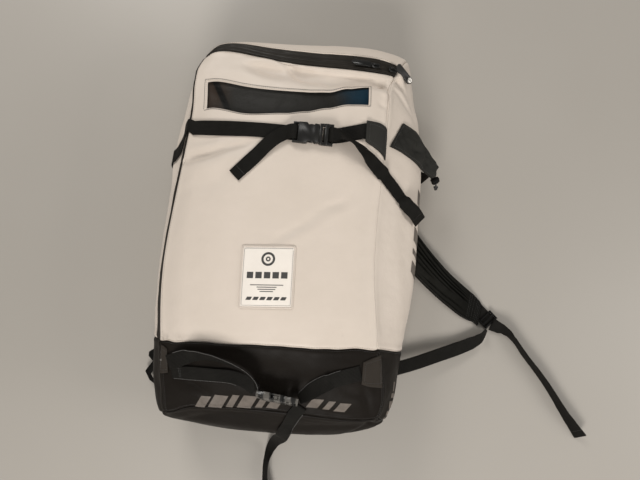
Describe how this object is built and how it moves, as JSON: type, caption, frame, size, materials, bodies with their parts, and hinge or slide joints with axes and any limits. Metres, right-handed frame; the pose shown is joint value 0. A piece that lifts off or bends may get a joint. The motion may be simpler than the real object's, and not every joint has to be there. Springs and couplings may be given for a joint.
{
  "type": "packed kite backpack bag",
  "caption": "Zipped backpack bag filled by a rolled kite, lying on its back: cream front with a window, black boot, straps with side-release buckles and a padded shoulder strap.",
  "frame": {"origin": "middle of the back panel's flat face, on the floor that the bag lies on", "axes": "+Y along the bag towards its zipped end, +X to its right as seen from above, +Z from the back panel to the front panel"},
  "size_m": [0.8493, 0.888, 0.2211],
  "materials": {
    "cream_cloth": "semi-matt coated cloth",
    "black_cloth": "semi-matt coated cloth",
    "window_cloth": "glossy see-through sheet over dark cloth",
    "zip_tape": "coated zip tape",
    "back_cloth": "matt cloth",
    "kite_fill": "packed cloth",
    "webbing": "woven webbing",
    "grey_patch": "matt reinforcing cloth",
    "flap_cloth": "matt cloth",
    "pad_cloth": "matt cloth on foam",
    "label_white": "smooth woven label",
    "buckle_plastic": "moulded acetal",
    "zip_metal": "gloss black enamel",
    "pull_rubber": "moulded pull",
    "bright_metal": "polished",
    "cord": "braided cord"
  },
  "bodies": {
    "root": {"packed_kite": "kite_fill", "front_panel": "cream_cloth", "window_sheet": "window_cloth", "front_base": "black_cloth", "zip_tape": "zip_tape", "left_gusset": "cream_cloth", "left_base": "black_cloth", "top_gusset": "cream_cloth", "right_gusset": "cream_cloth", "right_base": "black_cloth", "bottom_end": "black_cloth", "back_panel": "back_cloth", "upper_strap_left": "webbing", "upper_tail_left": "webbing", "upper_strap_right": "webbing", "upper_tail_right": "webbing", "upper_patch_right": "grey_patch", "lower_patch_left": "grey_patch", "lower_patch_right": "grey_patch", "lower_strap_left": "webbing", "lower_tail_left": "webbing", "lower_strap_right": "webbing", "lower_tail_right": "webbing", "label": "label_white", "label_rim": "cream_cloth", "upper_buckle_socket": "buckle_plastic", "upper_buckle_plug": "buckle_plastic", "lower_buckle_socket": "buckle_plastic", "lower_buckle_plug": "buckle_plastic", "shoulder_pad": "pad_cloth", "shoulder_lock": "buckle_plastic", "shoulder_webbing": "webbing", "shoulder_tail": "webbing", "left_anchor": "webbing", "left_anchor_web": "webbing", "left_tab": "webbing", "cord_flap": "flap_cloth", "cord_flap_back": "black_cloth", "drawcord": "cord", "cord_lock": "buckle_plastic", "slider_left": "zip_metal", "slider_right": "zip_metal", "pull_left": "zip_metal", "pull_right": "pull_rubber", "pull_eyelet": "bright_metal"}
  },
  "joints": []
}
